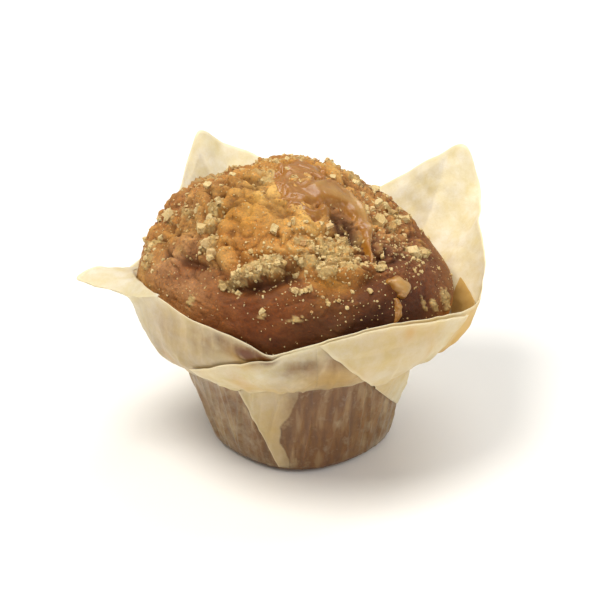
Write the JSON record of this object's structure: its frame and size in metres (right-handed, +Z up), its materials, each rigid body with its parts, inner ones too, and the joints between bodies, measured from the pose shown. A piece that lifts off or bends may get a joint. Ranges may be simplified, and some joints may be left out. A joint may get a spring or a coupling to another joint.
{
  "type": "muffin",
  "caption": "Crumble-topped caramel muffin with a mushroomed, lumpy dome, baked in a folded square paper wrap with a tapered cup, flared panels and standing corners.",
  "frame": {"origin": "middle of the flat base of the paper cup", "axes": "+Z up out of the cake's dome, -Y towards the side that the front pleats face, +X towards the tall right-hand corner of the paper"},
  "size_m": [0.1197, 0.1106, 0.084],
  "materials": {
    "cake": "baked cake crumb and crust, matt, with pale crumble and a satin run of caramel",
    "paper_wrap": "thin greaseproof baking paper, satin, translucent where grease has soaked in"
  },
  "bodies": {
    "root": {"cake": "cake", "paper_wrap": "paper_wrap"}
  },
  "joints": []
}
